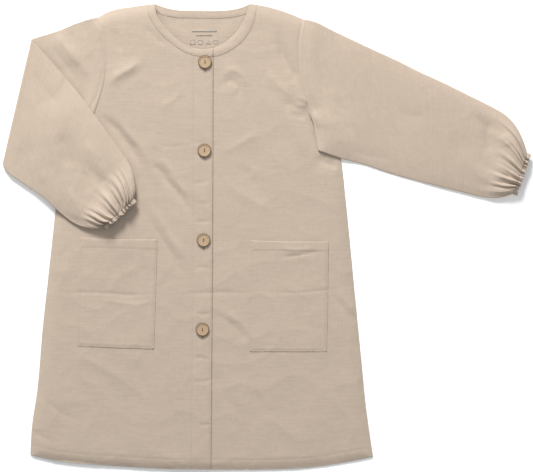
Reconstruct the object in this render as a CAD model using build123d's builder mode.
from build123d import *
import math
import os

os.makedirs("parts", exist_ok=True)

# ---------------------------------------------------------------------------
# Long-sleeved artist smock, laid flat with its front up, the right sleeve
# folded over at the elbow. Millimetres. X runs across the garment (the
# wearer's left is +X), Y runs from hem to neck, Z is up from the table.
# The origin is on the table, on the centre line, half way down the garment.
# Names ending in _R and _L belong to the wearer's right and left.
# ---------------------------------------------------------------------------

# cloth layers
CLOTH = 0.6              # one ply of cotton cloth
Z_BACK = 0.0             # underside of the back panel
Z_LEFT = 6.0             # underside of the left front, which lies beneath
Z_RIGHT = 8.2            # underside of the right front, which overlaps it
BACK_TOP = Z_BACK + CLOTH
LEFT_TOP = Z_LEFT + CLOTH
RIGHT_TOP = Z_RIGHT + CLOTH

# lines about which the fronts turn back, each a narrow gap in the cloth
FOLD_R_X = -84.0
FOLD_L_X = 86.0
FOLD_GAP = 0.3           # half of the gap
SIDE_FOLD_R = FOLD_R_X - FOLD_GAP    # where the side fronts end
SIDE_FOLD_L = FOLD_L_X + FOLD_GAP
FLAP_FOLD_R = FOLD_R_X + FOLD_GAP    # where the flaps begin
FLAP_FOLD_L = FOLD_L_X - FOLD_GAP

# seams and stitching
SEAM_W = 8.0             # width of a seam allowance
HEM_W = 22.0             # depth of the turned-up hem
STITCH_W = 0.7
STITCH_H = 0.2

# ---------------------------------------------------------------------------
# outlines: x, y points
# ---------------------------------------------------------------------------
# body, going round clockwise from the right end of the neck
NECK_BACK = [(-94.0, 463.0), (-76.0, 456.4), (-56.0, 451.6), (-24.0, 450.0), (4.0, 449.4),
             (36.0, 449.6), (62.0, 452.0), (82.0, 457.0), (96.0, 463.6)]
SHOULDER_L = [(96.0, 463.6), (134.0, 456.4), (168.0, 446.0), (204.0, 431.6)]
ARMHOLE_L = [(204.0, 431.6), (198.0, 404.0), (196.0, 346.0), (204.0, 298.0), (222.0, 258.0),
             (246.0, 230.0), (270.0, 214.0)]
SIDE_L = [(270.0, 214.0), (278.0, 154.0), (288.0, 62.0), (302.0, -82.0), (316.0, -226.0),
          (329.0, -354.0), (342.0, -444.0)]
HEM_L = [(342.0, -444.0), (292.0, -454.0), (218.0, -465.2), (140.0, -469.2),
         (FOLD_L_X, -469.8)]
HEM_MID = [(FOLD_L_X, -469.8), (0.0, -470.0), (FOLD_R_X, -468.0)]
HEM_R = [(FOLD_R_X, -468.0), (-180.0, -462.0), (-302.0, -450.0), (-344.0, -440.0)]
SIDE_R = [(-344.0, -440.0), (-341.0, -386.0), (-330.4, -314.0), (-320.0, -194.0),
          (-308.0, -82.0), (-294.0, 46.0), (-280.0, 170.0), (-270.0, 214.0)]
ARMHOLE_R = [(-270.0, 214.0), (-246.0, 230.0), (-220.0, 258.0), (-202.0, 298.0),
             (-194.0, 346.0), (-198.0, 404.0), (-208.0, 436.0)]
SHOULDER_R = [(-208.0, 436.0), (-190.0, 446.0), (-132.0, 458.0), (-94.0, 463.0)]

# shoulder seams, clockwise like the body
SHOULDER_SEAM_R = [(-196.0, 440.4), (-186.0, 446.0), (-132.0, 456.5), (-116.0, 459.0)]
SHOULDER_SEAM_L = [(116.0, 459.0), (134.0, 455.5), (168.0, 445.0), (196.0, 433.8)]

# front neckline, from each shoulder to the free edge of its front
NECK_R_SIDE = [(-94.0, 463.0), (-90.8, 442.0), (SIDE_FOLD_R, 429.0)]
NECK_R_FRONT = [(FLAP_FOLD_R, 428.0), (-76.8, 418.0), (-64.0, 405.0), (-50.8, 392.0),
                (-38.0, 383.2), (-18.0, 374.4), (5.6, 371.4), (22.2, 374.0)]
NECK_L_FRONT = [(-12.0, 373.2), (5.6, 371.4), (25.2, 374.6), (40.4, 382.0), (57.8, 395.2),
                (73.0, 411.4), (83.8, 431.0), (FLAP_FOLD_L, 435.5)]
NECK_L_SIDE = [(SIDE_FOLD_L, 437.0), (89.2, 446.0), (96.0, 463.6)]
NECK_LOW_POINT = (5.6, 371.4)

# outer edge of the neck binding, each running back along its neckline
BAND_R_SIDE = [(SIDE_FOLD_R, 404.2), (-94.0, 416.0), (-102.8, 431.0), (-108.2, 442.0),
               (-110.0, 461.2)]
BAND_R_FRONT = [(22.2, 356.6), (8.0, 356.0), (-14.0, 358.2), (-35.6, 366.0), (-57.2, 380.0),
                (-79.0, 398.4), (FLAP_FOLD_R, 403.6)]
BAND_L_FRONT = [(FLAP_FOLD_L, 393.4), (73.0, 380.0), (51.2, 366.0), (29.6, 357.6), (8.0, 356.0),
                (-12.0, 357.8)]
BAND_L_SIDE = [(110.0, 461.0), (108.8, 450.4), (106.6, 437.4), (101.2, 418.0), (90.0, 398.4),
               (SIDE_FOLD_L, 394.0)]
BAND_BACK = [(112.0, 460.5), (84.0, 441.0), (62.0, 436.0), (36.0, 433.6), (4.0, 433.4),
             (-24.0, 434.0), (-56.0, 435.6), (-80.0, 441.0), (-110.0, 460.0)]

# free edges of the two fronts and inner edges of their facings, neck to hem
EDGE_R = [(22.2, 374.0), (20.8, -30.0), (17.6, -469.4)]
EDGE_L = [(-12.0, 373.2), (-13.6, -30.0), (-16.8, -469.4)]
FACING_R = [(-18.4, 374.6), (-19.6, -30.0), (-22.8, -469.2)]
FACING_L = [(26.4, 375.2), (25.0, -30.0), (21.8, -469.4)]

# turned-up hems of the two flaps
FLAP_HEM_R = [(FLAP_FOLD_R, -468.0), (-23.2, -469.0), (-23.0, -446.8), (FLAP_FOLD_R, -446.0)]
FLAP_HEM_L = [(22.2, -469.6), (FLAP_FOLD_L, -469.8), (FLAP_FOLD_L, -447.8), (22.4, -447.6)]


# ---------------------------------------------------------------------------
# helpers
# ---------------------------------------------------------------------------
def save(builder, name):
    builder.part.label = name
    export_step(builder.part, f"parts/{name}.step")


def slide_out(line, left):
    """A polyline moved sideways, to the left of its direction."""
    out = []
    for i, (x, y) in enumerate(line):
        before = line[max(i - 1, 0)]
        after = line[min(i + 1, len(line) - 1)]
        run_x, run_y = after[0] - before[0], after[1] - before[1]
        length = math.hypot(run_x, run_y)
        out.append((x - left * run_y / length, y + left * run_x / length))
    return out


def strip(line, left):
    """Corners of a strip that lies along a polyline, to the left of its direction."""
    return line + list(reversed(slide_out(line, left)))


def sheets(name, *layers):
    """One piece made of flat sheets, each given as underside z, thickness, outlines."""
    with BuildPart() as piece:
        for z, thickness, *outlines in layers:
            with BuildSketch(Plane.XY.offset(z)):
                for outline in outlines:
                    Polygon(*outline)
            extrude(amount=thickness)
    save(piece, name)


def curved_panel(name, z, *lines):
    """One ply of cloth bounded by lines, each given as a curve type and its points."""
    with BuildPart() as panel:
        with BuildSketch(Plane.XY.offset(z)):
            with BuildLine():
                for curve, points in lines:
                    curve(*points)
            make_face()
        extrude(amount=CLOTH)
    save(panel, name)


# ---------------------------------------------------------------------------
# body of the smock
# ---------------------------------------------------------------------------
curved_panel("back_panel", Z_BACK,
             (Spline, NECK_BACK), (Spline, SHOULDER_L), (Spline, ARMHOLE_L),
             (Polyline, SIDE_L), (Polyline, HEM_L), (Polyline, HEM_MID),
             (Polyline, HEM_R), (Polyline, SIDE_R),
             (Spline, ARMHOLE_R), (Spline, SHOULDER_R))

# each front, between the side seam and the line where it turns back
curved_panel("right_front_side", Z_RIGHT,
             (Polyline, NECK_R_SIDE),
             (Polyline, [NECK_R_SIDE[-1], (SIDE_FOLD_R, -468.0), *HEM_R[1:]]),
             (Polyline, SIDE_R), (Spline, ARMHOLE_R), (Spline, SHOULDER_R))
HEM_CORNER_L = (SIDE_FOLD_L, -469.8)
curved_panel("left_front_side", Z_LEFT,
             (Polyline, NECK_L_SIDE), (Spline, SHOULDER_L), (Spline, ARMHOLE_L),
             (Polyline, SIDE_L), (Polyline, [*HEM_L[:-1], HEM_CORNER_L]),
             (Polyline, [HEM_CORNER_L, NECK_L_SIDE[0]]))

# side and shoulder seam allowances join the fronts to the back;
# armhole seam allowances lie inside the fronts
for side, z_front, side_line, shoulder_line, armhole_line in (
        ("right", Z_RIGHT, SIDE_R, SHOULDER_SEAM_R, ARMHOLE_R),
        ("left", Z_LEFT, SIDE_L, SHOULDER_SEAM_L, ARMHOLE_L)):
    seam_height = z_front - BACK_TOP
    sheets(f"{side}_side_seam", (BACK_TOP, seam_height, strip(side_line, -SEAM_W)))
    sheets(f"{side}_shoulder_seam", (BACK_TOP, seam_height, strip(shoulder_line, -SEAM_W)))
    sheets(f"{side}_armhole_seam",
           (z_front - CLOTH, CLOTH, strip(armhole_line[1:-1], -SEAM_W)))

# turned-up hem of the back and of the two side fronts
BACK_HEM = [(330.0, -446.4), *HEM_L[1:-1], *HEM_MID[1:], *HEM_R[1:-1], (-332.0, -442.9)]
SIDE_HEM_R = [(-87.0, -467.8), *HEM_R[1:-1], (-330.0, -443.3)]
SIDE_HEM_L = [(328.0, -446.8), *HEM_L[1:-1], HEM_CORNER_L]
# the back hem follows the line without the point at the left turning line
sheets("hem_fold",
       (BACK_TOP, CLOTH, strip(BACK_HEM, -HEM_W)),
       (Z_RIGHT - CLOTH, CLOTH, strip(SIDE_HEM_R, -HEM_W)),
       (Z_LEFT - CLOTH, CLOTH, strip(SIDE_HEM_L, -HEM_W)))

# neck binding: inside the back neck, and on top of each side front
sheets("neck_binding_back",
       (BACK_TOP, CLOTH, NECK_BACK + BAND_BACK),
       (RIGHT_TOP, CLOTH, NECK_R_SIDE + BAND_R_SIDE),
       (LEFT_TOP, CLOTH, NECK_L_SIDE + BAND_L_SIDE))

# printed size mark inside the back neck: plain bars above a row of outlined signs
MARK_X = 4
MARK_T = 0.12
SIGN_Y = 387
SIGN_LINE = 1.2          # line width of the square, ring and slot
SQUARE = 11
RING_R = 5.8
TRIANGLE_Y = 385.6
TRIANGLE_R = 6.6         # outer and inner circumradius
TRIANGLE_INNER_R = 4.4
SLOT_LENGTH, SLOT_HEIGHT = 12, 9

with BuildPart() as neck_size_mark:
    with BuildSketch(Plane.XY.offset(BACK_TOP)):
        with Locations((MARK_X, 409)):
            Rectangle(50, 5)
        with Locations((MARK_X, 400)):
            Rectangle(34, 3)
        with Locations((-19, SIGN_Y)):
            Rectangle(SQUARE, SQUARE)
            Rectangle(SQUARE - 2 * SIGN_LINE, SQUARE - 2 * SIGN_LINE, mode=Mode.SUBTRACT)
        with Locations((-4, SIGN_Y)):
            Circle(RING_R)
            Circle(RING_R - SIGN_LINE, mode=Mode.SUBTRACT)
        with Locations((12, TRIANGLE_Y)):
            RegularPolygon(TRIANGLE_R, 3, rotation=90)
            RegularPolygon(TRIANGLE_INNER_R, 3, rotation=90, mode=Mode.SUBTRACT)
        with Locations((27, SIGN_Y)):
            SlotOverall(SLOT_LENGTH, SLOT_HEIGHT)
            SlotOverall(SLOT_LENGTH - 2 * SIGN_LINE, SLOT_HEIGHT - 2 * SIGN_LINE,
                        mode=Mode.SUBTRACT)
    extrude(amount=MARK_T)
save(neck_size_mark, "neck_size_mark")

# ---------------------------------------------------------------------------
# patch pockets
# ---------------------------------------------------------------------------
# corners seen from above: top left, top right, bottom right, bottom left
POCKET_R = [(-243.4, -4.4), (-89.4, -8.6), (-96.2, -228.4), (-248.6, -222.4)]
POCKET_L = [(99.0, -10.6), (253.2, -13.0), (249.8, -233.4), (95.8, -233.4)]
POCKET_LOFT = 4.8        # free space inside a pocket
POCKET_RIM = 1.2         # width of the sewn-down rim
MOUTH_OVERRUN = 4        # how far the cut for the free space passes the mouth
POCKET_HEM = 20.0        # turned-in hem at the mouth
SEAM_INSET = 3           # stitching in from the sides and bottom
SEAM_TOP_INSET = 1       # ends of that stitching, below the mouth
HEM_STITCH_INSET = 4.5   # ends of the hem stitching, in from the sides


def inset_corners(corners, side, top, bottom):
    """Pocket corners moved inwards; a negative value moves them outwards."""
    top_left, top_right, low_right, low_left = corners
    return [(top_left[0] + side, top_left[1] - top), (top_right[0] - side, top_right[1] - top),
            (low_right[0] - side, low_right[1] + bottom),
            (low_left[0] + side, low_left[1] + bottom)]


def make_pocket(side, corners, front_top):
    """Sheet over a free space, sewn down on three sides, its mouth open towards the neck."""
    with BuildPart() as pocket:
        with BuildSketch(Plane.XY.offset(front_top)):
            Polygon(*corners)
        extrude(amount=POCKET_LOFT + CLOTH)
        with BuildSketch(Plane.XY.offset(front_top)):
            Polygon(*inset_corners(corners, POCKET_RIM, -MOUTH_OVERRUN, POCKET_RIM))
        extrude(amount=POCKET_LOFT, mode=Mode.SUBTRACT)
    save(pocket, f"{side}_pocket")

    # stitching round three sides, and across the mouth hem
    top_left, top_right, low_right, low_left = inset_corners(
        corners, SEAM_INSET, SEAM_TOP_INSET, SEAM_INSET)
    seam = [top_left, low_left, low_right, top_right]
    mouth = inset_corners(corners, HEM_STITCH_INSET, POCKET_HEM, 0)[:2]
    sheets(f"{side}_pocket_stitching",
           (front_top + CLOTH + POCKET_LOFT, STITCH_H,
            strip(seam, STITCH_W), strip(mouth, STITCH_W)))


make_pocket("right", POCKET_R, RIGHT_TOP)
make_pocket("left", POCKET_L, LEFT_TOP)

# ---------------------------------------------------------------------------
# the parts of the two fronts that turn back, with facings, hems and binding
# ---------------------------------------------------------------------------
# button centres on the front
BUTTONS = [(6.0, 346.0), (4.8, 169.2), (3.2, -10.2), (1.0, -188.8)]
SLIT_L = 28.0            # buttonhole, along the front edge
SLIT_W = 2.4
SLIT_DROP = 5.5          # the button rides near the top of its buttonhole
SLITS = [(x, y - SLIT_DROP) for x, y in BUTTONS]
BAR_W = 1.2              # stitched edge round a buttonhole
BAR_H = 0.3


def slit_sheet(name, z, outline):
    """One ply of cloth with the buttonholes cut through it."""
    with BuildPart() as piece:
        with BuildSketch(Plane.XY.offset(z)):
            Polygon(*outline)
            with Locations(*SLITS):
                SlotOverall(SLIT_L, SLIT_W, rotation=90, mode=Mode.SUBTRACT)
        extrude(amount=CLOTH)
    save(piece, name)


slit_sheet("right_front_flap", Z_RIGHT, [*NECK_R_FRONT, *EDGE_R[1:], FLAP_HEM_R[0]])
slit_sheet("right_front_facing", Z_RIGHT - CLOTH, [NECK_LOW_POINT, *EDGE_R, *reversed(FACING_R)])
sheets("right_flap_hem", (Z_RIGHT - CLOTH, CLOTH, FLAP_HEM_R))

sheets("left_front_flap",
       (Z_LEFT, CLOTH, [*NECK_L_FRONT, FLAP_HEM_L[1], *reversed(EDGE_L[1:])]))
sheets("left_front_facing",
       (Z_LEFT - CLOTH, CLOTH, [*EDGE_L, *reversed(FACING_L), NECK_LOW_POINT]))
sheets("left_flap_hem", (Z_LEFT - CLOTH, CLOTH, FLAP_HEM_L))

sheets("neck_binding_right", (RIGHT_TOP, CLOTH, NECK_R_FRONT + BAND_R_FRONT))
sheets("neck_binding_left", (LEFT_TOP, CLOTH, NECK_L_FRONT + BAND_L_FRONT))

# thread round each buttonhole
with BuildPart() as buttonhole_stitches:
    with BuildSketch(Plane.XY.offset(RIGHT_TOP)):
        with Locations(*SLITS):
            SlotOverall(SLIT_L + 2 * BAR_W, SLIT_W + 2 * BAR_W, rotation=90)
            SlotOverall(SLIT_L, SLIT_W, rotation=90, mode=Mode.SUBTRACT)
    extrude(amount=BAR_H)
save(buttonhole_stitches, "buttonhole_stitches")


def placket_seam(edge, shift, top_y):
    """Stitch line beside an edge of the right front, from top_y down to near the hem."""
    heights = (top_y, -30.0, -466.0)
    return strip([(x + shift, y) for (x, _), y in zip(edge, heights)], STITCH_W)


# stitching down the right front, beside its free edge and at the facing's inner edge
sheets("placket_stitching",
       (RIGHT_TOP, STITCH_H, placket_seam(EDGE_R, -3, 352.0), placket_seam(FACING_R, 2, 353.0)))

# ---------------------------------------------------------------------------
# wooden buttons, sewn to the left front through the buttonholes of the right
# ---------------------------------------------------------------------------
BUTTON_D = 27.0          # two-hole button
BUTTON_T = 3.6
BUTTON_CHAMFER = 0.7     # lower edge
BUTTON_ROUND = 0.9       # upper edge
BUTTON_DISH = 0.9        # depth of the dish in the button's face
DISH_TAPER = 30          # degrees
BUTTON_RIM = 3.2
BUTTON_LIFT = 0.8        # free thread between cloth and button
HOLE_R = 1.1             # thread holes in the button
HOLE_PITCH = 5.0
THREAD_R = 0.8
SHANK_R = 1.0
WRAP_H = 0.4             # thread wrap under the button
BRIDGE_H = 0.7           # thread between the holes, on the face
Z_BUTTON = RIGHT_TOP + BUTTON_LIFT
Z_DISH = Z_BUTTON + BUTTON_T - BUTTON_DISH


def make_button(number, x, y):
    with BuildPart() as button:
        with BuildSketch(Plane.XY.offset(Z_BUTTON)):
            with Locations((x, y)):
                Circle(BUTTON_D / 2)
        extrude(amount=BUTTON_T)
        chamfer(button.edges().filter_by(GeomType.CIRCLE).group_by(Axis.Z)[0], BUTTON_CHAMFER)
        fillet(button.edges().filter_by(GeomType.CIRCLE).group_by(Axis.Z)[-1], BUTTON_ROUND)
        with BuildSketch(Plane.XY.offset(Z_BUTTON + BUTTON_T)):
            with Locations((x, y)):
                Circle(BUTTON_D / 2 - BUTTON_RIM)
        extrude(amount=-BUTTON_DISH, taper=DISH_TAPER, mode=Mode.SUBTRACT)
        with BuildSketch(Plane.XY.offset(Z_BUTTON)):
            with Locations((x, y - HOLE_PITCH / 2), (x, y + HOLE_PITCH / 2)):
                Circle(HOLE_R)
        extrude(amount=BUTTON_T, mode=Mode.SUBTRACT)
    save(button, f"button_{number}")


def make_thread(number, x, y):
    """Shank, wrap under the button, two legs and the bridge between the holes."""
    with BuildPart() as thread:
        with BuildSketch(Plane.XY.offset(LEFT_TOP)):
            with Locations((x, y)):
                Circle(SHANK_R)
        extrude(amount=Z_BUTTON - WRAP_H - LEFT_TOP)
        with BuildSketch(Plane.XY.offset(Z_BUTTON - WRAP_H)):
            with Locations((x, y)):
                SlotOverall(HOLE_PITCH + 2 * SHANK_R, 2 * SHANK_R, rotation=90)
        extrude(amount=WRAP_H)
        with BuildSketch(Plane.XY.offset(Z_BUTTON)):
            with Locations((x, y - HOLE_PITCH / 2), (x, y + HOLE_PITCH / 2)):
                Circle(THREAD_R)
        extrude(amount=BUTTON_T - BUTTON_DISH)
        with BuildSketch(Plane.XY.offset(Z_DISH)):
            with Locations((x, y)):
                SlotOverall(HOLE_PITCH + 2 * THREAD_R, 2 * THREAD_R, rotation=90)
        extrude(amount=BRIDGE_H)
    save(thread, f"button_thread_{number}")


for number, (x, y) in enumerate(BUTTONS, 1):
    make_button(number, x, y)
    make_thread(number, x, y)

# ---------------------------------------------------------------------------
# sleeves, each a flattened tube parted at its elbow fold, ending in a cuff
# ---------------------------------------------------------------------------
CUFF_W = 78.0            # gathered cuff laid flat
CUFF_H = 16.0
CUFF_LENGTH = 12.0
CUFF_WALL = 2.2
CUFF_END_FLAT = 0.1      # half of the flat left at each rounded side
ELASTIC_W = 8.0
ELASTIC_T = 1.0
ELASTIC_CLEAR = 0.1      # tunnel clearance on each face of the band
ELASTIC_END_CLEAR = 0.3  # and on each edge of it
CREASE_GAP = 0.3         # half of the gap at an elbow fold

# elbow folds, upper end first
CREASE_R = [(-342.0, 392.4), (-400.4, 141.0)]
CREASE_L = [(341.6, 371.2), (400.0, 117.4)]

# open ends of the cuffs: centre, and direction across the opening
CUFF_R = ((-160.0, 38.0), (0.733, 0.680))
CUFF_L = ((644.0, 120.0), (0.330, 0.944))

# sleeve edges in plan, x, y: the upper sleeve's run from the armhole to the
# fold, the lower sleeve's from the fold to the cuff; END closes the armhole
UPPER_R_TOP = [(-208.0, 436.0), (-240.0, 428.0), (-286.0, 410.0), CREASE_R[0]]
UPPER_R_LOW = [(-232.4, 169.4), (-280.0, 162.0), (-324.0, 153.0), CREASE_R[1]]
UPPER_R_END = [(-227.2, 197.2), (-222.4, 225.2), (-214.8, 243.4), (-205.0, 271.0),
               (-196.0, 304.8), (-192.8, 336.0), (-192.8, 378.0), (-200.4, 415.0)]
UPPER_L_TOP = [(203.8, 431.6), (220.0, 428.0), (268.0, 406.0), CREASE_L[0]]
UPPER_L_LOW = [(232.4, 169.4), (278.0, 154.0), (331.0, 140.0), (366.0, 128.0), CREASE_L[1]]
UPPER_L_END = [(227.2, 197.2), (222.4, 225.2), (216.0, 240.6), (210.0, 266.0),
               (199.2, 308.8), (196.0, 346.0), (195.2, 380.0), (197.6, 405.0)]
LOWER_R_TOP = [CREASE_R[0], (-244.8, 280.2), (-217.2, 243.4), (-184.0, 198.0),
               (-153.0, 154.6), (-140.8, 136.4), (-131.6, 114.8), (-127.0, 94.0),
               (-130.0, 81.0)]
LOWER_R_LOW = [CREASE_R[1], (-388.6, 125.6), (-373.4, 114.8), (-342.8, 93.4),
               (-312.2, 72.0), (-281.6, 43.0), (-257.0, 24.6), (-232.6, 14.0),
               (-210.0, 9.2), (-200.0, 13.0)]
LOWER_L_TOP = [CREASE_L[0], (388.0, 350.0), (436.0, 326.0), (484.0, 304.0), (532.0, 280.0),
               (580.0, 256.0), (604.0, 242.0), (628.0, 220.0), (642.0, 196.0), (648.5, 176.0)]
LOWER_L_LOW = [CREASE_L[1], (455.0, 102.8), (517.0, 87.2), (563.4, 76.4), (595.0, 73.4),
               (613.0, 78.0)]

# outer faces of the sleeves: distance from the elbow fold, height above the table
UPPER_R_UNDER = [(0.0, 0.4), (60.0, 9.2), (172.0, 9.6)]
UPPER_R_OVER = [(0.0, 3.3), (60.0, 12.4), (105.0, 15.4), (172.0, 15.8)]
UPPER_L_UNDER = [(0.0, 0.8), (60.0, 7.0), (172.0, 7.4)]
UPPER_L_OVER = [(0.0, 6.6), (60.0, 10.8), (105.0, 13.2), (172.0, 13.6)]
LOWER_R_UNDER = [(0.0, 3.9), (60.0, 13.0), (105.0, 16.0), (172.0, 16.4), (210.0, 13.0),
                 (330.0, 13.0)]
LOWER_R_OVER = [(0.0, 6.6), (60.0, 15.3), (105.0, 20.5), (172.0, 24.0), (255.0, 29.0),
                (330.0, 29.0)]
LOWER_L_UNDER = [(0.0, 0.8), (60.0, 0.4), (330.0, 0.4)]
LOWER_L_OVER = [(0.0, 6.6), (60.0, 8.6), (160.0, 13.5), (220.0, 16.4), (330.0, 16.4)]

# construction sizes of the tubes
BLOCK_H = 60             # block that the side profile cuts, above every sleeve
PROFILE_REACH = 500      # the side profile, to each side of the upper end of the fold
HOLLOW_OVERRUN = 40      # the hollow passes both ends of its tube
HOLLOW_START = -50.0     # ends of the hollow's side profile
HOLLOW_END = 420.0


def fold_plane(crease, towards_left):
    """Upright plane across an elbow fold: its x runs away from the fold, its y is up.

    The plane's x leans to the wearer's left (+X) or right (-X).
    """
    (start_x, start_y), (end_x, end_y) = crease
    length = math.hypot(end_x - start_x, end_y - start_y)
    away_x, away_y = -(end_y - start_y) / length, (end_x - start_x) / length
    if (away_x > 0) != towards_left:
        away_x, away_y = -away_x, -away_y
    return Plane(origin=(start_x, start_y, 0), x_dir=(away_x, away_y, 0),
                 z_dir=(away_y, -away_x, 0))


def cuff_plane(cuff, z, back):
    """Upright plane moved back from a cuff's open end: its x runs across, its z out."""
    (centre_x, centre_y), (across_x, across_y) = cuff
    length = math.hypot(across_x, across_y)
    across_x, across_y = across_x / length, across_y / length
    return Plane(origin=(centre_x - back * across_y, centre_y + back * across_x, z),
                 x_dir=(across_x, across_y, 0), z_dir=(across_y, -across_x, 0))


def overrun(line, start, finish):
    """A polyline lengthened at both ends, along the given directions."""
    first, last = line[0], line[-1]
    return [(first[0] + start.X * HOLLOW_OVERRUN, first[1] + start.Y * HOLLOW_OVERRUN), *line,
            (last[0] + finish.X * HOLLOW_OVERRUN, last[1] + finish.Y * HOLLOW_OVERRUN)]


def hollow_face(profile, rise):
    """An outer face's profile moved up by rise and lengthened at both ends."""
    return [(HOLLOW_START, profile[0][1] + rise), *((u, z + rise) for u, z in profile),
            (HOLLOW_END, profile[-1][1] + rise)]


def sleeve_tube(name, top, low, armhole, under, over, plane, start, finish):
    """Flattened cloth tube: its plan outline cut by its side profile, hollowed right through.

    start and finish are the directions out of the tube at the two ends of its edges.
    """
    turn = CLOTH if top[-1][0] < top[0][0] else -CLOTH
    inner_top = overrun(slide_out(top, turn), start, finish)
    inner_low = overrun(slide_out(low, -turn), start, finish)
    floor = [(CREASE_GAP, under[0][1]), *under[1:]]
    roof = [(CREASE_GAP, over[0][1]), *over[1:]]
    with BuildPart() as hollow:
        with BuildSketch(Plane.XY):
            Polygon(*inner_top, *reversed(inner_low))
        extrude(amount=BLOCK_H)
        with BuildSketch(plane):
            Polygon(*hollow_face(under, CLOTH), *reversed(hollow_face(over, -CLOTH)))
        extrude(amount=PROFILE_REACH, both=True, mode=Mode.INTERSECT)
    with BuildPart() as tube:
        with BuildSketch(Plane.XY):
            Polygon(*top, *reversed(low), *armhole)
        extrude(amount=BLOCK_H)
        with BuildSketch(plane):
            Polygon(*floor, *reversed(roof))
        extrude(amount=PROFILE_REACH, both=True, mode=Mode.INTERSECT)
        add(hollow.part, mode=Mode.SUBTRACT)
    save(tube, name)


def upper_sleeve(side, top, low, armhole, under, over, plane):
    sleeve_tube(f"{side}_sleeve_upper", top, low, armhole, under, over, plane,
                start=plane.x_dir, finish=-plane.x_dir)


def lower_sleeve(side, top, low, under, over, plane, cuff):
    """The lower sleeve's edges end at the corners of the cuff's inner end."""
    inner_end = cuff_plane(cuff, 0, CUFF_LENGTH)
    top_corner = inner_end.origin + inner_end.x_dir * (CUFF_W / 2)
    low_corner = inner_end.origin - inner_end.x_dir * (CUFF_W / 2)
    sleeve_tube(f"{side}_sleeve_lower", top + [(top_corner.X, top_corner.Y)],
                low + [(low_corner.X, low_corner.Y)], [], under, over, plane,
                start=-plane.x_dir, finish=inner_end.z_dir)


# the folded right sleeve has both its parts on the same side of the fold
fold_r = fold_plane(CREASE_R, towards_left=True)
upper_sleeve("right", UPPER_R_TOP, UPPER_R_LOW, UPPER_R_END, UPPER_R_UNDER, UPPER_R_OVER, fold_r)
lower_sleeve("right", LOWER_R_TOP, LOWER_R_LOW, LOWER_R_UNDER, LOWER_R_OVER, fold_r, CUFF_R)
upper_sleeve("left", UPPER_L_TOP, UPPER_L_LOW, UPPER_L_END, UPPER_L_UNDER, UPPER_L_OVER,
             fold_plane(CREASE_L, towards_left=False))
lower_sleeve("left", LOWER_L_TOP, LOWER_L_LOW, LOWER_L_UNDER, LOWER_L_OVER,
             fold_plane(CREASE_L, towards_left=True), CUFF_L)


def cuff_outline(inset):
    """Width, height and corner radius of the cuff's section, moved in by inset."""
    return CUFF_W - 2 * inset, CUFF_H - 2 * inset, CUFF_H / 2 - inset - CUFF_END_FLAT


def make_cuff(side, cuff, z_mid):
    """Casing with a tunnel in its wall, open at the sleeve end, and the elastic in it."""
    band_outer = (CUFF_WALL - ELASTIC_T) / 2
    band_inner = band_outer + ELASTIC_T
    with BuildPart() as casing:
        with BuildSketch(cuff_plane(cuff, z_mid, CUFF_LENGTH)):
            RectangleRounded(*cuff_outline(0))
            RectangleRounded(*cuff_outline(CUFF_WALL), mode=Mode.SUBTRACT)
        extrude(amount=CUFF_LENGTH)
        with BuildSketch(cuff_plane(cuff, z_mid, CUFF_LENGTH)):
            RectangleRounded(*cuff_outline(band_outer - ELASTIC_CLEAR))
            RectangleRounded(*cuff_outline(band_inner + ELASTIC_CLEAR), mode=Mode.SUBTRACT)
        extrude(amount=ELASTIC_W + 2 * ELASTIC_END_CLEAR, mode=Mode.SUBTRACT)
    save(casing, f"{side}_cuff_casing")

    with BuildPart() as elastic:
        with BuildSketch(cuff_plane(cuff, z_mid, CUFF_LENGTH - ELASTIC_END_CLEAR)):
            RectangleRounded(*cuff_outline(band_outer))
            RectangleRounded(*cuff_outline(band_inner), mode=Mode.SUBTRACT)
        extrude(amount=ELASTIC_W)
    save(elastic, f"{side}_cuff_elastic")


make_cuff("right", CUFF_R, LOWER_R_UNDER[-1][1] + CUFF_H / 2)
make_cuff("left", CUFF_L, LOWER_L_UNDER[-1][1] + CUFF_H / 2)
